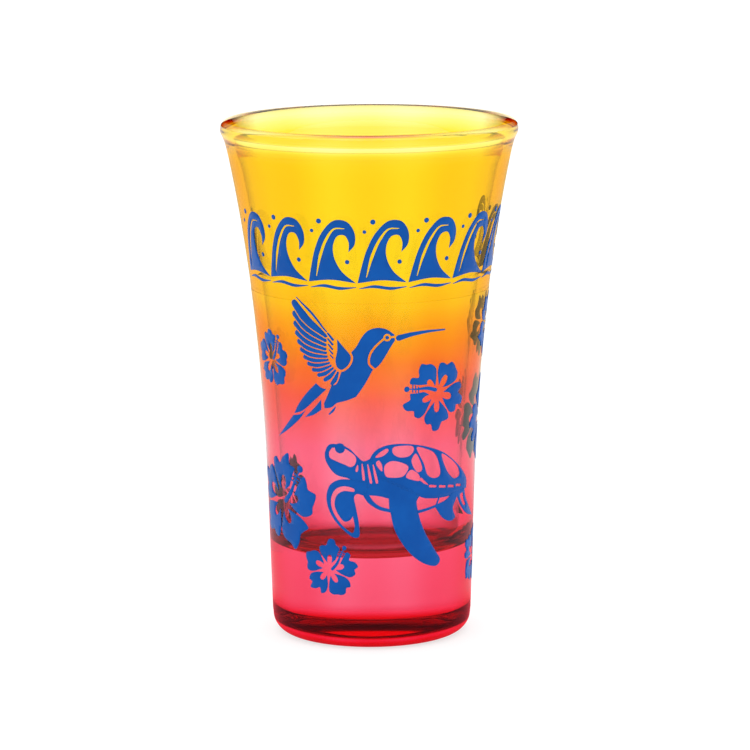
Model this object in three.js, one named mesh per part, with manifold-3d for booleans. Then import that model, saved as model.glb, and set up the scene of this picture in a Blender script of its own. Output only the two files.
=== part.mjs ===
// A flared souvenir shot glass: one pressed glass body, see-through sprayed colour coats and a
// screen print of sea motifs in blue ink. Millimetres, +Z up, origin at the middle of the underside.
import * as THREE from 'three';
import { mergeVertices } from 'three/addons/utils/BufferGeometryUtils.js';
import Module from 'manifold-3d';

const wasm = await Module();
wasm.setup();

// ---- Driving dimensions ----------------------------------------------------------------------

const HEIGHT = 84;
const BASE_RADIUS = 16.06; // of the outside wall, carried down to the table
const WALL_TAPER = 0.0315; // the straight part of the wall widens by this much per mm of height
const FLARE_START = 20; // height where the wall begins to curve outwards
const FLARE_SPAN = 60;
const FLARE_WIDTH = 4.5; // what the flare adds to the radius over its span
const FLARE_POWER = 2.4;
const RIM_RADIUS = 24;
const LIP_HALF_WIDTH = 1.1; // the fire-polished lip is an oval, thicker than the wall below it
const LIP_HALF_HEIGHT = 1.4;
const HEEL_RADIUS = 3; // the rounding between underside and wall
const PUNT_RADIUS = 11; // the shallow hollow under the base
const PUNT_DEPTH = 0.9;
const FLOOR_HEIGHT = 14.5; // inside floor, so the base is thick and solid
const FLOOR_FILLET = 4;
const WALL_AT_FLOOR = 2.3; // wall thickness low down
const WALL_AT_LIP = 1.6; // wall thickness high up, before the lip thickens

const FILM = 0.1; // thickness of a coat, and of the ink
const FILM_GAP = 0.03; // clearance between the glass and each film on it

const SEGMENTS = 48; // flats around every turned surface
const WALL_ROWS = 14; // bands of flats up the wall, shared by the glass and every film
const WALL_BOTTOM = HEEL_RADIUS;
const WALL_TOP = 78.5;
const HEEL_ANGLES = [-67.5, -45, -22.5]; // corners of the heel's flats, in degrees below level
const LIP_ANGLES = [-40, 0, 30, 60, 90, 120, 150, 180]; // corners of the lip's flats
const COATED_LIP_ANGLES = LIP_ANGLES.slice(0, 3); // those that the yellow coat reaches
const PUNT_STEPS = 6; // flats from the middle of the hollow under the base to its edge
const PINK_TOP_ROW = 10;
const YELLOW_BOTTOM_ROW = 5; // the two coats lap over each other from this row to the pink's top row

// ---- Materials -------------------------------------------------------------------------------

const clearGlass = new THREE.MeshStandardMaterial({ color: 0xf2f6f8, roughness: 0.04, metalness: 0 });
const yellowFilm = new THREE.MeshStandardMaterial({ color: 0xffcf1c, roughness: 0.15, metalness: 0 });
const pinkFilm = new THREE.MeshStandardMaterial({ color: 0xff4d78, roughness: 0.15, metalness: 0 });
const blueInk = new THREE.MeshStandardMaterial({ color: 0x1b54aa, roughness: 0.45, metalness: 0 });

// ---- The wall's line -------------------------------------------------------------------------

// Outside radius of the wall at a height.
function wallRadius(height) {
  const rise = Math.max(0, (height - FLARE_START) / FLARE_SPAN);
  return BASE_RADIUS + WALL_TAPER * height + FLARE_WIDTH * rise ** FLARE_POWER;
}

function rowHeight(row) {
  return WALL_BOTTOM + ((WALL_TOP - WALL_BOTTOM) * row) / WALL_ROWS;
}

function wallThickness(height) {
  const share = (height - FLOOR_HEIGHT) / (HEIGHT - FLOOR_HEIGHT);
  return THREE.MathUtils.lerp(WALL_AT_FLOOR, WALL_AT_LIP, share);
}

// Whole numbers from first to last.
function range(first, last) {
  return Array.from({ length: last - first + 1 }, (_, index) => first + index);
}

// A point on a round corner, at an angle in degrees that is measured from straight outwards and up.
function cornerPoint(centreRadius, centreHeight, radius, degrees) {
  const angle = THREE.MathUtils.degToRad(degrees);
  return new THREE.Vector2(centreRadius + radius * Math.cos(angle), centreHeight + radius * Math.sin(angle));
}

function arcPoints(centreRadius, centreHeight, radius, fromDegrees, toDegrees, steps) {
  const turn = (toDegrees - fromDegrees) / steps;
  const angles = range(0, steps).map((step) => fromDegrees + turn * step);
  return angles.map((degrees) => cornerPoint(centreRadius, centreHeight, radius, degrees));
}

// A point on the heel's rounding, or standing off from it by a distance.
function heelPoint(degrees, standOff = 0) {
  return cornerPoint(wallRadius(HEEL_RADIUS) - HEEL_RADIUS, HEEL_RADIUS, HEEL_RADIUS + standOff, degrees);
}

// The same for the oval of the lip.
function lipPoint(degrees, standOff = 0) {
  const angle = THREE.MathUtils.degToRad(degrees);
  return new THREE.Vector2(
    RIM_RADIUS - LIP_HALF_WIDTH + (LIP_HALF_WIDTH + standOff) * Math.cos(angle),
    HEIGHT - LIP_HALF_HEIGHT + (LIP_HALF_HEIGHT + standOff) * Math.sin(angle),
  );
}

// Turns a profile of (radius, height) points about +Z. Angle zero faces -Y.
function turned(profile) {
  return new THREE.LatheGeometry(profile, SEGMENTS).rotateX(Math.PI / 2);
}

// ---- Glass body ------------------------------------------------------------------------------

// The hollow's line from the middle almost to its edge, or a distance below it.
function puntProfile(drop = 0) {
  return range(0, PUNT_STEPS - 1).map((step) => {
    const share = step / PUNT_STEPS;
    return new THREE.Vector2(PUNT_RADIUS * share, PUNT_DEPTH * (1 - share ** 2) - drop);
  });
}

function glassProfile() {
  const innerRadius = (height) => wallRadius(height) - wallThickness(height);
  const filletHeight = FLOOR_HEIGHT + FLOOR_FILLET;
  const filletCentre = innerRadius(filletHeight) - FLOOR_FILLET;
  const rows = range(0, WALL_ROWS).map(rowHeight);
  const innerRows = rows.filter((height) => height > filletHeight + 1).reverse();
  return [
    ...puntProfile(),
    new THREE.Vector2(PUNT_RADIUS, 0),
    heelPoint(-90),
    ...HEEL_ANGLES.map((degrees) => heelPoint(degrees)),
    ...rows.map((height) => new THREE.Vector2(wallRadius(height), height)),
    ...LIP_ANGLES.map((degrees) => lipPoint(degrees)),
    ...innerRows.map((height) => new THREE.Vector2(innerRadius(height), height)),
    ...arcPoints(filletCentre, filletHeight, FLOOR_FILLET, 0, -90, 4),
    new THREE.Vector2(0, FLOOR_HEIGHT),
  ];
}

// ---- Films on the outside --------------------------------------------------------------------

const COAT_LAYER = 0;
const LAPPED_LAYER = 1;
const INK_LAYER = 2;

// Distance from the glass to the underside of a film in one of the layers.
function layerOffset(layer) {
  return FILM_GAP + layer * (FILM + FILM_GAP);
}

// A closed thin shell around the wall between two rows. layerOf(row) is the layer that it lies in.
// heelAngles are the corners that it follows round the heel first, and lipAngles those round the lip.
function filmShell(firstRow, lastRow, layerOf, heelAngles = [], lipAngles = []) {
  const side = (extra) => [
    ...heelAngles.map((degrees) => heelPoint(degrees, layerOffset(COAT_LAYER) + extra)),
    ...range(firstRow, lastRow).map((row) => {
      const height = rowHeight(row);
      return new THREE.Vector2(wallRadius(height) + layerOffset(layerOf(row)) + extra, height);
    }),
    ...lipAngles.map((degrees) => lipPoint(degrees, layerOffset(COAT_LAYER) + extra)),
  ];
  const outside = side(FILM);
  return turned([...outside, ...side(0).reverse(), outside[0].clone()]);
}

function yellowCoatGeometry() {
  return filmShell(YELLOW_BOTTOM_ROW, WALL_ROWS, () => COAT_LAYER, [], COATED_LIP_ANGLES);
}

function pinkCoatGeometry() {
  const layerOf = (row) => (row < YELLOW_BOTTOM_ROW ? COAT_LAYER : LAPPED_LAYER);
  return filmShell(0, PINK_TOP_ROW, layerOf, HEEL_ANGLES);
}

// The pink in the hollow under the base. The ring that the glass stands on stays bare.
function baseCoatGeometry() {
  const underside = puntProfile(FILM_GAP + FILM);
  return turned([...underside, ...puntProfile(FILM_GAP).reverse()]);
}

// ---- Solids for the cuts ---------------------------------------------------------------------

function toSolid(geometry) {
  const bare = geometry.clone();
  bare.deleteAttribute('normal');
  bare.deleteAttribute('uv');
  const merged = mergeVertices(bare);
  const vertProperties = new Float32Array(merged.attributes.position.array);
  const triVerts = new Uint32Array(merged.index.array);
  return new wasm.Manifold(new wasm.Mesh({ numProp: 3, vertProperties, triVerts }));
}

function toGeometry(solid) {
  const cut = solid.getMesh();
  const geometry = new THREE.BufferGeometry();
  geometry.setAttribute('position', new THREE.BufferAttribute(new Float32Array(cut.vertProperties), 3));
  geometry.setIndex(new THREE.BufferAttribute(new Uint32Array(cut.triVerts), 1));
  geometry.computeVertexNormals();
  return geometry;
}

// ---- Ink motifs ------------------------------------------------------------------------------
// Each outline is drawn flat in mm: across to the right as seen from outside, and up.

const CURVE_STEPS = 5;

// One breaking wave: a slope that climbs to a crest and curls over.
function waveOutline() {
  const shape = new THREE.Shape();
  shape.moveTo(-3.7, 0);
  shape.bezierCurveTo(-2.4, 4.2, -1.6, 9.4, 1.2, 10.4);
  shape.bezierCurveTo(3.2, 10.8, 4.2, 8.3, 3.4, 6.2);
  shape.bezierCurveTo(3.0, 7.6, 1.6, 7.9, 1.1, 6.4);
  shape.bezierCurveTo(0.4, 4.1, 1.8, 1.6, 3.9, 0);
  return shape;
}

// A five-lobed flower of the given size, open in the middle.
function flowerOutline(size) {
  const corners = 30;
  const points = range(1, corners).map((corner) => {
    const angle = (2 * Math.PI * corner) / corners;
    const lobe = Math.abs(Math.cos(2.5 * angle)) ** 0.6;
    return new THREE.Vector2(Math.sin(angle), Math.cos(angle)).multiplyScalar(size * (0.55 + 0.45 * lobe));
  });
  const shape = new THREE.Shape(points);
  shape.holes.push(new THREE.Path().absarc(0, 0, 0.22 * size, 0, 2 * Math.PI, false));
  return shape;
}

function birdBodyOutline() {
  const shape = new THREE.Shape();
  shape.moveTo(4.4, 5.3);
  shape.bezierCurveTo(3.6, 6.6, 1.6, 6.9, 0.2, 6.2);
  shape.bezierCurveTo(-1.2, 5.2, -1.0, 3.6, -1.8, 2.4);
  shape.bezierCurveTo(-2.0, 0.4, -4.2, -1.0, -5.4, -3.2);
  shape.bezierCurveTo(-6.2, -4.4, -7.6, -4.8, -8.0, -6.2);
  shape.bezierCurveTo(-5.6, -6.2, -3.0, -5.2, -2.0, -4.2);
  shape.bezierCurveTo(-0.6, -2.2, 1.2, -0.6, 1.4, 0.4);
  shape.bezierCurveTo(2.6, 1.6, 3.6, 3.6, 4.4, 5.3);
  return shape;
}

function birdBillOutline() {
  const shape = new THREE.Shape();
  shape.moveTo(4.8, 4.9);
  shape.lineTo(12.7, 5.9);
  shape.lineTo(12.7, 6.2);
  shape.lineTo(4.9, 5.8);
  return shape;
}

function birdWingOutline() {
  const shape = new THREE.Shape();
  shape.moveTo(-2.6, 1.6);
  shape.bezierCurveTo(-5.0, 5.4, -9.0, 9.2, -13.2, 11.4);
  shape.lineTo(-13.1, 9.4);
  shape.bezierCurveTo(-11.6, 4.5, -10.6, 0.0, -7.8, -2.6);
  shape.lineTo(-6.0, -2.8);
  shape.bezierCurveTo(-5.0, -1.8, -3.4, -0.4, -2.6, 1.6);
  return shape;
}

function birdTailOutline() {
  const shape = new THREE.Shape();
  shape.moveTo(-8.9, -3.2);
  shape.quadraticCurveTo(-14.5, -7.4, -17.5, -12.1);
  shape.quadraticCurveTo(-12.0, -8.4, -8.7, -6.6);
  shape.lineTo(-7.1, -4.0);
  return shape;
}

function turtleHeadOutline() {
  const shape = new THREE.Shape();
  shape.moveTo(-7.0, 2.4);
  shape.lineTo(-7.2, 4.2);
  shape.bezierCurveTo(-8.6, 6.2, -12.0, 7.4, -13.6, 5.9);
  shape.bezierCurveTo(-14.2, 4.4, -12.6, 2.2, -10.2, 1.4);
  shape.lineTo(-7.0, 0.9);
  return shape;
}

function turtleShellOutline() {
  const shape = new THREE.Shape();
  shape.moveTo(-6.3, 2.2);
  shape.bezierCurveTo(-6.0, 6.0, -2.5, 7.4, 1.5, 7.2);
  shape.bezierCurveTo(6.0, 7.0, 11.5, 3.6, 13.9, -1.4);
  shape.bezierCurveTo(9.0, -1.9, 3.0, -1.2, -1.8, 0);
  return shape;
}

function turtleFrontFlipperOutline() {
  const shape = new THREE.Shape();
  shape.moveTo(-6.3, 1.6);
  shape.lineTo(-1.9, -0.5);
  shape.lineTo(1.9, -1.3);
  shape.bezierCurveTo(2.4, -6.0, 4.4, -9.6, 6.2, -12.6);
  shape.bezierCurveTo(6.2, -13.4, 5.4, -13.8, 4.6, -13.6);
  shape.bezierCurveTo(-0.4, -11.8, -2.8, -7.6, -3.8, -1.8);
  shape.lineTo(-6.3, -0.6);
  return shape;
}

function turtleSideFlipperOutline() {
  const shape = new THREE.Shape();
  shape.moveTo(-6.8, 0.4);
  shape.bezierCurveTo(-10.6, 0.8, -13.8, -1.0, -13.4, -3.6);
  shape.bezierCurveTo(-12.4, -6.6, -10.4, -8.0, -7.8, -8.6);
  shape.bezierCurveTo(-7.4, -6.0, -8.6, -3.6, -8.4, -2.2);
  shape.lineTo(-6.8, -1.2);
  return shape;
}

function turtleRearFlippersOutline() {
  const shape = new THREE.Shape();
  shape.moveTo(5.6, -3.6);
  shape.lineTo(11.6, -2.2);
  shape.bezierCurveTo(13.2, -3.4, 14.8, -5.2, 16.0, -6.9);
  shape.bezierCurveTo(12.8, -6.6, 11.2, -4.6, 10.2, -4.2);
  shape.lineTo(9.2, -6.3);
  shape.bezierCurveTo(8.0, -6.6, 6.6, -5.0, 5.6, -3.6);
  return shape;
}

// Moves flat points so that, seen along the motif's own radius, they fall on the round wall.
function wrapPoints(points, height) {
  return points.map((point) => {
    const radius = wallRadius(height + point.y);
    return new THREE.Vector2(radius * Math.sin(point.x / radius), point.y);
  });
}

// The motif's outline as a solid bar that points outwards from the axis at the motif's place.
function motifBar(outline, azimuthDegrees, height) {
  const barStart = 2;
  const barEnd = 30;
  const flat = outline.extractPoints(CURVE_STEPS);
  const wrapped = new THREE.Shape(wrapPoints(flat.shape, height));
  wrapped.holes = flat.holes.map((hole) => new THREE.Path(wrapPoints(hole, height)));
  const bar = new THREE.ExtrudeGeometry(wrapped, { depth: barEnd - barStart, bevelEnabled: false });
  const azimuth = THREE.MathUtils.degToRad(azimuthDegrees);
  const across = new THREE.Vector3(Math.cos(azimuth), Math.sin(azimuth), 0);
  const up = new THREE.Vector3(0, 0, 1);
  const outwards = new THREE.Vector3(Math.sin(azimuth), -Math.cos(azimuth), 0);
  bar.translate(0, height, barStart);
  bar.applyMatrix4(new THREE.Matrix4().makeBasis(across, up, outwards));
  return bar;
}

// The part of the ink layer that the motif's bar passes through.
function inkGeometry(inkLayer, motif) {
  const bar = toSolid(motifBar(motif.outline, motif.azimuth, motif.height));
  return toGeometry(inkLayer.intersect(bar));
}

// ---- Places of the motifs: degrees round from the front, and mm above the table ---------------

const WAVE_COUNT = 8;
const WAVE_PITCH = 23.5;
const FIRST_WAVE = -65;
const WAVE_FOOT = 60.3;

const BIRD_PLACE = { azimuth: 0, height: 46 };
const TURTLE_PLACE = { azimuth: 20, height: 27 };

const FLOWERS = [
  { azimuth: 36, height: 41.9, size: 5.6 },
  { azimuth: -60, height: 46.8, size: 4.5 },
  { azimuth: -58, height: 23.8, size: 7.4 },
  { azimuth: -24, height: 13.5, size: 4.5 },
  { azimuth: 86, height: 51.3, size: 5.2 },
  { azimuth: 90, height: 35.8, size: 6.8 },
  { azimuth: 82, height: 13.2, size: 4.7 },
  { azimuth: -112, height: 22.5, size: 5.6 },
];

function waveMotifs() {
  return range(0, WAVE_COUNT - 1).map((index) => ({
    name: `print_wave_${index + 1}`,
    outline: waveOutline(),
    azimuth: FIRST_WAVE + WAVE_PITCH * index,
    height: WAVE_FOOT,
  }));
}

function birdMotifs() {
  return [
    { name: 'print_bird_body', outline: birdBodyOutline(), ...BIRD_PLACE },
    { name: 'print_bird_bill', outline: birdBillOutline(), ...BIRD_PLACE },
    { name: 'print_bird_wing', outline: birdWingOutline(), ...BIRD_PLACE },
    { name: 'print_bird_tail', outline: birdTailOutline(), ...BIRD_PLACE },
  ];
}

function turtleMotifs() {
  return [
    { name: 'print_turtle_head', outline: turtleHeadOutline(), ...TURTLE_PLACE },
    { name: 'print_turtle_shell', outline: turtleShellOutline(), ...TURTLE_PLACE },
    { name: 'print_turtle_front_flipper', outline: turtleFrontFlipperOutline(), ...TURTLE_PLACE },
    { name: 'print_turtle_side_flipper', outline: turtleSideFlipperOutline(), ...TURTLE_PLACE },
    { name: 'print_turtle_rear_flippers', outline: turtleRearFlippersOutline(), ...TURTLE_PLACE },
  ];
}

function flowerMotifs() {
  return FLOWERS.map((flower, index) => ({
    name: `print_hibiscus_${index + 1}`,
    outline: flowerOutline(flower.size),
    azimuth: flower.azimuth,
    height: flower.height,
  }));
}

// ---- Assembly --------------------------------------------------------------------------------

function namedMesh(name, geometry, material) {
  const mesh = new THREE.Mesh(geometry, material);
  mesh.name = name;
  return mesh;
}

const shotGlass = new THREE.Group();
shotGlass.add(namedMesh('glass_body', turned(glassProfile()), clearGlass));
shotGlass.add(namedMesh('yellow_coat', yellowCoatGeometry(), yellowFilm));
shotGlass.add(namedMesh('pink_coat', pinkCoatGeometry(), pinkFilm));
shotGlass.add(namedMesh('base_coat', baseCoatGeometry(), pinkFilm));

const screenPrint = new THREE.Group();
const inkLayer = toSolid(filmShell(0, WALL_ROWS, () => INK_LAYER));
for (const motif of [...waveMotifs(), ...birdMotifs(), ...turtleMotifs(), ...flowerMotifs()]) {
  screenPrint.add(namedMesh(motif.name, inkGeometry(inkLayer, motif), blueInk));
}
shotGlass.add(screenPrint);

export default shotGlass;
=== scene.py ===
"""The looks of the flared souvenir shot glass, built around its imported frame.

Lengths are in millimetres until they become mesh vertices, which are in metres. An azimuth is 0 at
the front (-Y) and grows to the right of that view.
"""

import math
import random

import bpy
import numpy as np
from mathutils import Matrix, Vector
from mathutils.geometry import delaunay_2d_cdt


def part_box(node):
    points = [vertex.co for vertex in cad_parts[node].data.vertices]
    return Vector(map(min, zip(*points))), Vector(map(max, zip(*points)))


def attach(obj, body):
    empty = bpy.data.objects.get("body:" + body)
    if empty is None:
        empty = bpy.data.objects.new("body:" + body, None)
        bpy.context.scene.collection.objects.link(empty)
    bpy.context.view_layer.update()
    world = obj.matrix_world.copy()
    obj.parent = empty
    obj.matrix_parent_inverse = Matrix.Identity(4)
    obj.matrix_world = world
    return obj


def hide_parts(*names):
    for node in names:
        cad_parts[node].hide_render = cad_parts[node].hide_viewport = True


MM = 0.001
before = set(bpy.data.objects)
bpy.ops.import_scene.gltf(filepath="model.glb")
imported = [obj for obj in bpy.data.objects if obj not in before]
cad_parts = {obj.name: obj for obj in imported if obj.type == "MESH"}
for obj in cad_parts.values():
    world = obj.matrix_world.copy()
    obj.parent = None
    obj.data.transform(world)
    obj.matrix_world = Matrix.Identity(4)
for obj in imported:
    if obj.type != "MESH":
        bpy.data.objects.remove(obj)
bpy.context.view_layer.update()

# ---- Sizes read from the frame ----


def turned_rows(node):
    """Heights of a turned node's vertex rings, each with its smallest and largest radius."""
    rows = {}
    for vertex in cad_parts[node].data.vertices:
        height = round(vertex.co.z / MM, 2)
        radius = math.hypot(vertex.co.x, vertex.co.y) / MM
        low, high = rows.get(height, (radius, radius))
        rows[height] = (min(low, radius), max(high, radius))
    return rows


def smooth_curve(points, degree):
    """The radius against the height, as a smooth curve through points of the faceted frame."""
    heights, radii = zip(*points)
    return np.polynomial.Polynomial.fit(heights, radii, degree)


TOUCH = 0.01  # lengths that differ by less than this are the same
BODY_ROWS = turned_rows("glass_body")
HEIGHT = max(BODY_ROWS)
RIM_RADIUS = max(high for low, high in BODY_ROWS.values())
LIP_CENTRE = max(h for h, (low, high) in BODY_ROWS.items() if high > RIM_RADIUS - TOUCH)
LIP_HALF_HEIGHT = HEIGHT - LIP_CENTRE
LIP_HALF_WIDTH = RIM_RADIUS - BODY_ROWS[HEIGHT][1]
PUNT_DEPTH, FLOOR_HEIGHT = sorted(h for h, (low, high) in BODY_ROWS.items() if low < TOUCH)
PUNT_RADIUS, RING_RADIUS = BODY_ROWS[0]
PINK_TOP = max(turned_rows("pink_coat"))
YELLOW_BOTTOM = min(turned_rows("yellow_coat"))
WALL_TOP = max(h for h in turned_rows("yellow_coat") if h < LIP_CENTRE - LIP_HALF_HEIGHT + TOUCH)

HEEL_RADIUS = 3.0  # of the rounding at the foot of the glass, as in the CAD part
FLOOR_FILLET = 4.0  # of the rounding at the bowl's floor, as in the CAD part
INNER_START = FLOOR_HEIGHT + FLOOR_FILLET
OUTER_RINGS = [(h, high) for h, (low, high) in BODY_ROWS.items() if HEEL_RADIUS <= h <= WALL_TOP]
WALL_RINGS = [(h, high) for h, high in OUTER_RINGS if high > RING_RADIUS + HEEL_RADIUS - TOUCH]
INNER_RINGS = [
    (h, low) for h, (low, high) in BODY_ROWS.items()
    if abs(h - INNER_START) < TOUCH or INNER_START < h <= WALL_TOP and low < high - TOUCH
]
wall_radius = smooth_curve(WALL_RINGS, degree=6)
inner_radius = smooth_curve(INNER_RINGS, degree=5)

# ---- Camera ----

CAMERA_DISTANCE = 7.627 * HEIGHT
CAMERA_HEIGHT = 1.851 * HEIGHT
CAMERA_DIP = 10.03
CAMERA_YAW = -0.065
CAMERA_ROLL = -0.3
SENSOR_WIDTH = 36.0
LENS = 5.33 * SENSOR_WIDTH
NEAREST_SEEN = 0.05  # metres
FARTHEST_SEEN = 20.0  # metres


def make_camera():
    data = bpy.data.cameras.new("camera")
    data.sensor_width = SENSOR_WIDTH
    data.lens = LENS
    data.clip_start = NEAREST_SEEN
    data.clip_end = FARTHEST_SEEN
    camera = bpy.data.objects.new("camera", data)
    bpy.context.scene.collection.objects.link(camera)
    turn = Matrix.Rotation(math.radians(CAMERA_YAW), 4, "Z")
    turn = turn @ Matrix.Rotation(math.radians(90 - CAMERA_DIP), 4, "X")
    turn = turn @ Matrix.Rotation(math.radians(CAMERA_ROLL), 4, "Z")
    camera.matrix_world = Matrix.Translation((0, -CAMERA_DISTANCE * MM, CAMERA_HEIGHT * MM)) @ turn
    bpy.context.scene.camera = camera


# ---- Parts of materials ----

GLASS_IOR = 1.5
BONDED_IOR = 1.0  # light doesn't bend where a film touches glass or another film
CLEAR_GLASS = (0.99, 0.995, 0.99, 1)
WHITE = (1.0, 1.0, 1.0, 1)


def linear(red, green, blue):
    """Linear colour from 0-255 display values."""
    shares = [value / 255 for value in (red, green, blue)]
    return tuple(s / 12.92 if s <= 0.04045 else ((s + 0.055) / 1.055) ** 2.4 for s in shares) + (1.0,)


def new_material(name):
    material = bpy.data.materials.new(name)
    material.use_nodes = True
    return material, material.node_tree, material.node_tree.nodes["Principled BSDF"]


def clear_material(name, ior):
    """A colourless, see-through and perfectly smooth material."""
    material, tree, shader = new_material(name)
    shader.inputs["Base Color"].default_value = CLEAR_GLASS
    shader.inputs["Transmission Weight"].default_value = 1.0
    shader.inputs["Roughness"].default_value = 0.0
    shader.inputs["IOR"].default_value = ior
    return material, tree, shader


def mix_surfaces(tree, share, first, second):
    """Gives the material a mix of two surface shaders, with this share of the second."""
    mix = tree.nodes.new("ShaderNodeMixShader")
    tree.links.new(share, mix.inputs[0])
    tree.links.new(first.outputs[0], mix.inputs[1])
    tree.links.new(second.outputs[0], mix.inputs[2])
    tree.links.new(mix.outputs[0], tree.nodes["Material Output"].inputs["Surface"])


def bending_material(name):
    """A material whose surface bends light as glass does. With it come the sockets for the colour of
    the light that passes and of the light that is reflected."""
    material, tree, shader = new_material(name)
    tree.nodes.remove(shader)
    passed = tree.nodes.new("ShaderNodeBsdfRefraction")
    passed.inputs["Roughness"].default_value = 0.0
    passed.inputs["IOR"].default_value = GLASS_IOR
    mirrored = tree.nodes.new("ShaderNodeBsdfAnisotropic")
    mirrored.inputs["Roughness"].default_value = 0.0
    fresnel = tree.nodes.new("ShaderNodeFresnel")
    fresnel.inputs["IOR"].default_value = GLASS_IOR
    mix_surfaces(tree, fresnel.outputs[0], passed, mirrored)
    return material, tree, passed.inputs["Color"], mirrored.inputs["Color"]


def math_output(tree, operation, *values):
    """The result of a sum. A value is a number or another node's output."""
    node = tree.nodes.new("ShaderNodeMath")
    node.operation = operation
    for index, value in enumerate(values):
        if isinstance(value, (int, float)):
            node.inputs[index].default_value = value
        else:
            tree.links.new(value, node.inputs[index])
    return node.outputs[0]


def range_output(tree, value, start, end):
    """0 where the value is start or less, growing evenly to 1 at end."""
    scale = tree.nodes.new("ShaderNodeMapRange")
    scale.inputs["From Min"].default_value = start
    scale.inputs["From Max"].default_value = end
    tree.links.new(value, scale.inputs["Value"])
    return scale.outputs["Result"]


def ramp_output(tree, value, stops):
    """A colour that changes with a value from 0 to 1, through (value, colour) stops."""
    ramp = tree.nodes.new("ShaderNodeValToRGB")
    tree.links.new(value, ramp.inputs[0])
    elements = ramp.color_ramp.elements
    elements[0].position, elements[0].color = stops[0]
    elements[1].position, elements[1].color = stops[-1]
    for position, colour in stops[1:-1]:
        elements.new(position).color = colour
    return ramp.outputs["Color"]


def place_output(tree):
    """The place on the object, in metres."""
    return tree.nodes.new("ShaderNodeTexCoord").outputs["Object"]


def place_parts(tree):
    """The X, Y and Z of the place on the object."""
    parts = tree.nodes.new("ShaderNodeSeparateXYZ")
    tree.links.new(place_output(tree), parts.inputs[0])
    return parts.outputs


def facing_output(tree):
    """0 where the surface faces the eye, growing to 1 where the eye grazes it."""
    weight = tree.nodes.new("ShaderNodeLayerWeight")
    weight.inputs["Blend"].default_value = 0.5
    return weight.outputs["Facing"]


def height_ramp(tree, stops):
    """A colour that changes with height, through (height, colour) stops."""
    low, high = stops[0][0], stops[-1][0]
    climb = range_output(tree, place_parts(tree)["Z"], low * MM, high * MM)
    shares = [((height - low) / (high - low), colour) for height, colour in stops]
    return ramp_output(tree, climb, shares)


# ---- Materials of the bare glass ----

# The facing_output values between which a surface goes over to its painted colour: a painted pale edge on
# the lip, painted shade on the wall and the floor.
LIP_PALE_EDGE_FACING = (0.45, 0.85)
WALL_SHADE_FACING = (0.66, 0.92)
FLOOR_SHADE_FACING = (0.25, 0.72)

# Painted pale cream edge on the lip, where the eye grazes it.
LIP_PAINTED_PALE_EDGE = (1.0, 0.93, 0.75, 1)
# Painted shade: near-black brown on the inner wall where the eye grazes it.
WALL_PAINTED_SHADE = (0.03, 0.006, 0.002, 1)
# Painted deep red shade on the bowl's floor where the eye grazes it, and a painted red reflection in it.
FLOOR_PAINTED_RED_SHADE = (0.34, 0.012, 0.02, 1)
FLOOR_PAINTED_REFLECTION = (0.7, 0.05, 0.08, 1)


def lip_material():
    """The fire-polished lip. Where the eye grazes it, it lets the light behind through in a pale cream, a
    painted pale edge."""
    material, tree, shader = clear_material("clear_glass", GLASS_IOR)
    pale_edge_share = range_output(tree, facing_output(tree), *LIP_PALE_EDGE_FACING)
    passed = tree.nodes.new("ShaderNodeBsdfTransparent")
    passed.inputs["Color"].default_value = LIP_PAINTED_PALE_EDGE
    mix_surfaces(tree, pale_edge_share, shader, passed)
    return material


def bonded_material():
    """The outside of the glass where it is under a coat."""
    return clear_material("glass_under_coat", BONDED_IOR)[0]


def painted_grazing_ramp(tree, grazes, colour):
    """Clear glass that takes on a painted colour where the eye grazes it: painted light and shade that
    the lighting and the glass don't give there."""
    start, end = grazes
    return ramp_output(tree, facing_output(tree), [(start, CLEAR_GLASS), (end, colour)])


def bowl_wall_material():
    """The inside of the wall, with a painted dark line of shade where it turns away from the eye."""
    material, tree, shader = clear_material("glass_wall_painted_shade", GLASS_IOR)
    tree.links.new(painted_grazing_ramp(tree, WALL_SHADE_FACING, WALL_PAINTED_SHADE), shader.inputs["Base Color"])
    return material


def bowl_floor_material():
    """The floor of the bowl and its rounded edge, which mirror the coats round the base in a painted red
    reflection, and take on painted deep red shade where the eye grazes them.
    """
    material, tree, passed, mirrored = bending_material("glass_floor_painted_red")
    tree.links.new(painted_grazing_ramp(tree, FLOOR_SHADE_FACING, FLOOR_PAINTED_RED_SHADE), passed)
    mirrored.default_value = FLOOR_PAINTED_REFLECTION
    return material


# ---- Materials of the coats ----

# What white light keeps when it crosses a film of full strength twice, as it does on its way through
# the back and the front of the glass.
YELLOW = (0.93, 0.63, 0.006)
PINK = (0.885, 0.127, 0.223)

# (height, strength) stops, which say how thick each film lies.
YELLOW_STOPS = [(33, 0.0), (38, 0.2), (43, 0.6), (48, 1.0), (76, 1.0), (80, 0.9), (82, 0.4), (84, 0.25)]
PINK_STOPS = [
    (0, 7.0), (1.0, 4.0), (1.8, 1.8), (3, 1.15), (10, 1.1), (20, 0.95), (28, 0.85), (33, 0.98), (38, 1.0),
    (41, 0.9), (44, 0.54), (47, 0.38), (53, 0.14), (56, 0.0),
]
BASE_STOPS = [(0, 0.9), (1, 0.9)]

# (height, colour) stops of what the outermost film reflects: partly the film's own tint on light it
# reflects inside, partly painted reflection and highlight colours.
BASE_RED_REFLECTION = (1.0, 0.35, 0.4, 1)
DEEP_AMBER_REFLECTION = (0.9, 0.6, 0.22, 1)
PALE_LIP_REFLECTION = (0.9, 0.76, 0.66, 1)
PAINTED_REFLECTION_STOPS = [
    (0, (1.0, 0.08, 0.12, 1)), (5, (1.0, 0.1, 0.14, 1)), (8, (1.0, 0.4, 0.45, 1)), (14, BASE_RED_REFLECTION),
    (20, BASE_RED_REFLECTION), (31, WHITE), (40, (1.0, 0.9, 0.8, 1)), (50, (0.95, 0.6, 0.25, 1)), (79, DEEP_AMBER_REFLECTION),
    (82, PALE_LIP_REFLECTION), (84, PALE_LIP_REFLECTION),
]

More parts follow.
